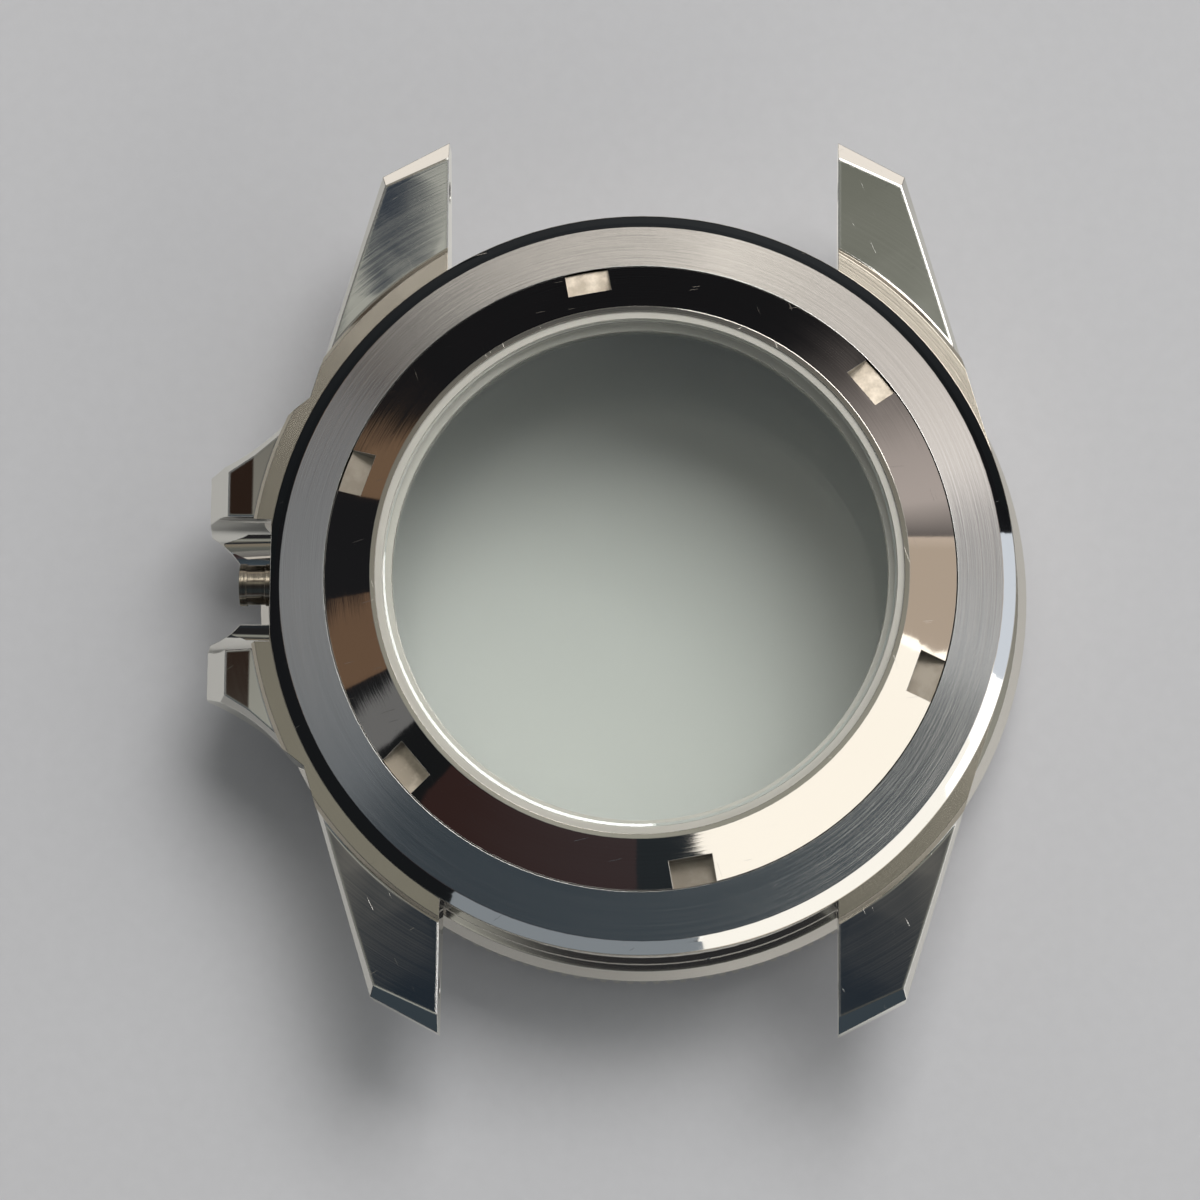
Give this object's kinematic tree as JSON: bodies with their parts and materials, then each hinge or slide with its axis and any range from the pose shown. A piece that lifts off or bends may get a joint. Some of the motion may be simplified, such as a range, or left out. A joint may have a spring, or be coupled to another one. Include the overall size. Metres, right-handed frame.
{
  "type": "empty watch case with turning bezel and screwed back",
  "caption": "Empty round steel diver's watch case with crown guards, four lugs, a turning bezel and a screwed back ring holding a glass.",
  "frame": {"origin": "on the case axis, in the outer face of the front crystal", "axes": "+Z leaves through the case back, +Y runs towards one pair of lugs (12 o'clock with the pearl), and the crown side is -X"},
  "size_m": [0.042, 0.0458, 0.0125],
  "materials": {
    "case_steel": "316L steel, polished flanks and bevels, brushed back collar",
    "tube_steel": "turned steel with a warm plated tint",
    "seal_rubber": "black nitrile, matte",
    "crystal_glass": "flat mineral glass, polished",
    "gasket_nylon": "off-white nylon",
    "chapter_metal": "satin, pale grey",
    "bezel_steel": "polished 316L steel with a coin edge",
    "insert_aluminium": "black anodised, satin",
    "adhesive_tape": "pressure-sensitive film",
    "mark_paint": "white fill, matte",
    "cup_steel": "polished",
    "pearl_lume": "luminous compound under clear lacquer",
    "slip_plastic": "low-friction plastic, milky",
    "wire_steel": "drawn spring wire",
    "spring_steel": "stamped spring steel",
    "pin_steel": "turned pins",
    "back_steel": "mirror polished 316L steel",
    "back_glass_glass": "flat mineral glass, polished",
    "back_gasket_nylon": "off-white nylon",
    "back_seal_rubber": "black nitrile, greased"
  },
  "bodies": {
    "case": {"middle_case": "case_steel", "crown_tube": "tube_steel", "tube_seal": "seal_rubber", "front_crystal": "crystal_glass", "crystal_gasket": "gasket_nylon", "chapter_ring": "chapter_metal", "bezel_slip_ring": "slip_plastic", "bezel_retaining_wire": "wire_steel", "click_spring": "spring_steel", "click_spring_pins": "pin_steel"},
    "bezel": {"bezel_ring": "bezel_steel", "bezel_insert": "insert_aluminium", "insert_adhesive": "adhesive_tape", "insert_marks": "mark_paint", "pearl_cup": "cup_steel", "luminous_pearl": "pearl_lume"},
    "seal": {"back_seal": "back_seal_rubber"},
    "back": {"case_back_ring": "back_steel", "back_glass": "back_glass_glass", "back_glass_gasket": "back_gasket_nylon"}
  },
  "joints": [
    {"name": "bezel_turn", "type": "hinge", "parent": "case", "child": "bezel", "pos_m": [0, 0, 0], "axis": [0, 0, 1], "continuous": true},
    {"name": "back_rise", "type": "slide", "parent": "case", "child": "seal", "axis": [0, 0, 1], "range_m": [0, 0.00125]},
    {"name": "back_turn", "type": "hinge", "parent": "seal", "child": "back", "pos_m": [0, 0, 0], "axis": [0, 0, 1], "range_deg": [0, 900]}
  ],
  "couplings": [
    {"joint": "back_rise", "follows": "back_turn", "m_per_rad": 0.000079577}
  ]
}
